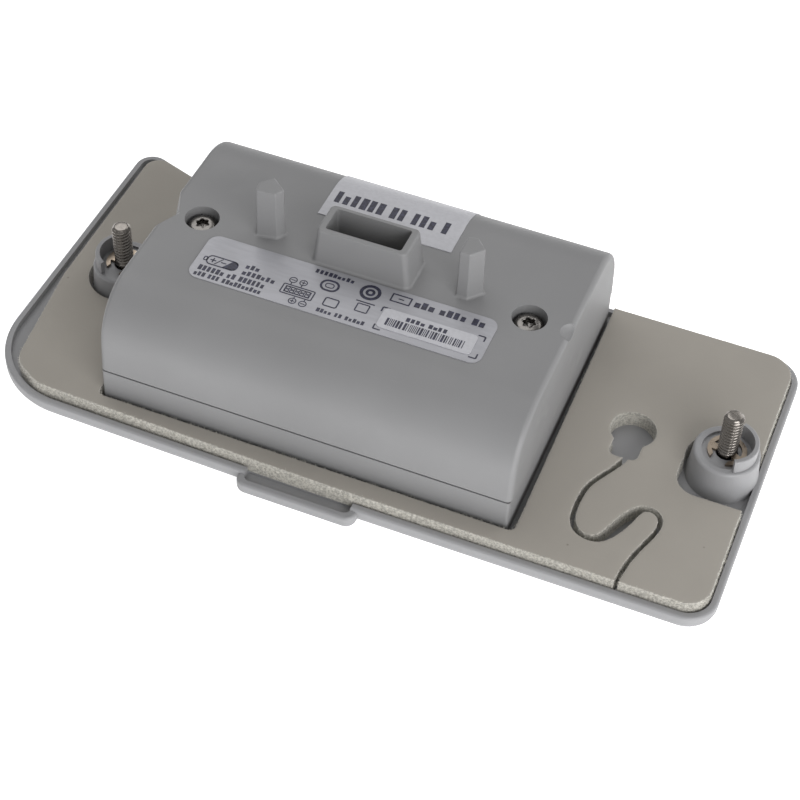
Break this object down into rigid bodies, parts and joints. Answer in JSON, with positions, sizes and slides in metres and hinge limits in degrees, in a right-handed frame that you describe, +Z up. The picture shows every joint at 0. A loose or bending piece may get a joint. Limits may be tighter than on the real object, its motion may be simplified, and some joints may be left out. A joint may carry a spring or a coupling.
{
  "type": "battery door with fixed battery pack",
  "caption": "Grey moulded battery door with a foam gasket, captive screws in bosses and a screwed-on lithium-ion pack with a connector shroud and guide posts.",
  "frame": {"origin": "centre of the outline, on the door's outer face, which it lies on", "axes": "+X along the door towards the slit end of the foam, +Y towards the inspection label, +Z up through the pack"},
  "size_m": [0.1368, 0.0701, 0.0356],
  "materials": {
    "door_plastic": "moulded polycarbonate blend, fine spark texture, light grey",
    "gasket_foam": "closed-cell foam with a skinned top face and fuzzy cut edges",
    "case_plastic": "moulded polycarbonate blend, fine spark texture, grey",
    "screw_steel": "plain stainless steel, turned",
    "clip_steel": "spring steel, oiled",
    "insert_brass": "knurled brass",
    "cell_can": null,
    "cell_sleeve": "shrink sleeve",
    "insulating_card": "calendered insulating card",
    "nickel_strip": "rolled nickel strip",
    "circuit_board": "glass-epoxy board with green solder mask",
    "chip_black": "moulded epoxy package",
    "passive_ceramic": "ceramic chip parts",
    "fuse_film": "wrapped polymer fuse",
    "bead_epoxy": "epoxy bead",
    "connector_nylon": "glass-filled nylon, black",
    "contact_plating": "gold-flashed spring contacts",
    "cell_pad_foam": "soft adhesive foam",
    "label_silver": null,
    "label_white": null
  },
  "bodies": {
    "door": {"cover_plate": "door_plastic", "foam_pad": "gasket_foam", "case_base": "case_plastic", "case_cover": "case_plastic", "case_screws": "screw_steel", "threaded_inserts": "insert_brass", "cell_front": "cell_can", "cell_rear": "cell_can", "cell_sleeves": "cell_sleeve", "insulator_rings": "insulating_card", "series_link": "nickel_strip", "tab_positive": "nickel_strip", "tab_negative": "nickel_strip", "protection_board": "circuit_board", "board_chips": "chip_black", "board_passives": "passive_ceramic", "resettable_fuse": "fuse_film", "thermistor": "bead_epoxy", "connector_block": "connector_nylon", "connector_contacts": "contact_plating", "cell_pads": "cell_pad_foam", "end_cards": "insulating_card", "main_label": "label_silver", "serial_label": "label_white", "inspection_label": "label_white"},
    "clip_left": {"retaining_clip_left": "clip_steel"},
    "screw_left": {"captive_screw_left": "screw_steel"},
    "clip_right": {"retaining_clip_right": "clip_steel"},
    "screw_right": {"captive_screw_right": "screw_steel"}
  },
  "joints": [
    {"name": "clip_left_slide", "type": "slide", "parent": "door", "child": "clip_left", "axis": [0, 0, 1], "range_m": [0, 0.0024]},
    {"name": "screw_left_turn", "type": "hinge", "parent": "clip_left", "child": "screw_left", "pos_m": [-0.05415, 0.00045, 0.0084], "axis": [0, 0, 1], "continuous": true},
    {"name": "clip_right_slide", "type": "slide", "parent": "door", "child": "clip_right", "axis": [0, 0, 1], "range_m": [0, 0.0024]},
    {"name": "screw_right_turn", "type": "hinge", "parent": "clip_right", "child": "screw_right", "pos_m": [0.06115, 0.00045, 0.0084], "axis": [0, 0, 1], "continuous": true}
  ]
}
